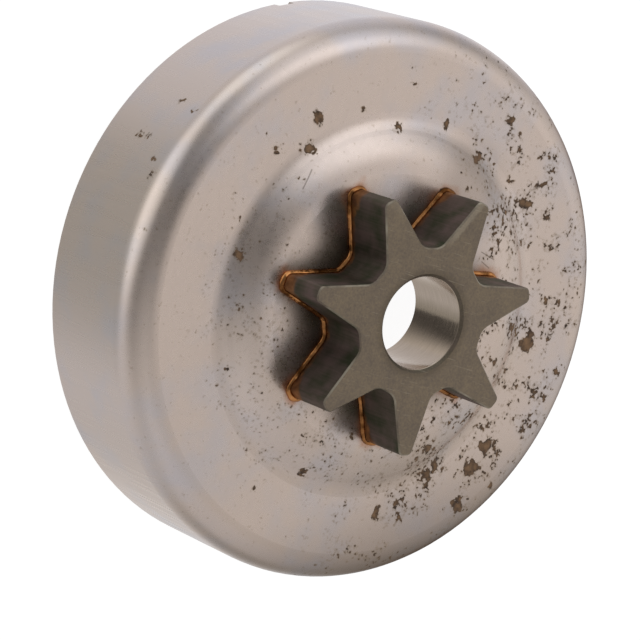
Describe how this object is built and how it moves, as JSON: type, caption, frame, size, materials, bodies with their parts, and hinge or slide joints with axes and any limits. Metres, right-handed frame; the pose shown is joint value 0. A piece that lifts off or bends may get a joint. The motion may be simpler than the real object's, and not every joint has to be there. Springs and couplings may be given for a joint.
{
  "type": "chainsaw spur sprocket",
  "caption": "Drawn steel clutch drum with a domed face and a toothed spur sprocket brazed to it, bored for a needle bearing; takes a chainsaw clutch inside and drives the chain.",
  "frame": {"origin": "centre of the drum's open rim, in the plane of the rim", "axes": "+Z along the bore axis from the open rim towards the sprocket; one tooth points along -Y"},
  "size_m": [0.08, 0.08, 0.0316],
  "materials": {
    "drawn_steel": "satin pressed sheet steel with scattered rust specks",
    "sintered_steel": "matt dark grey sintered steel, ground bright in the bore",
    "braze_copper": "glossy copper braze, darkened by heat"
  },
  "bodies": {
    "root": {"clutch_drum": "drawn_steel", "spur_sprocket": "sintered_steel", "braze_bead": "braze_copper"}
  },
  "joints": []
}
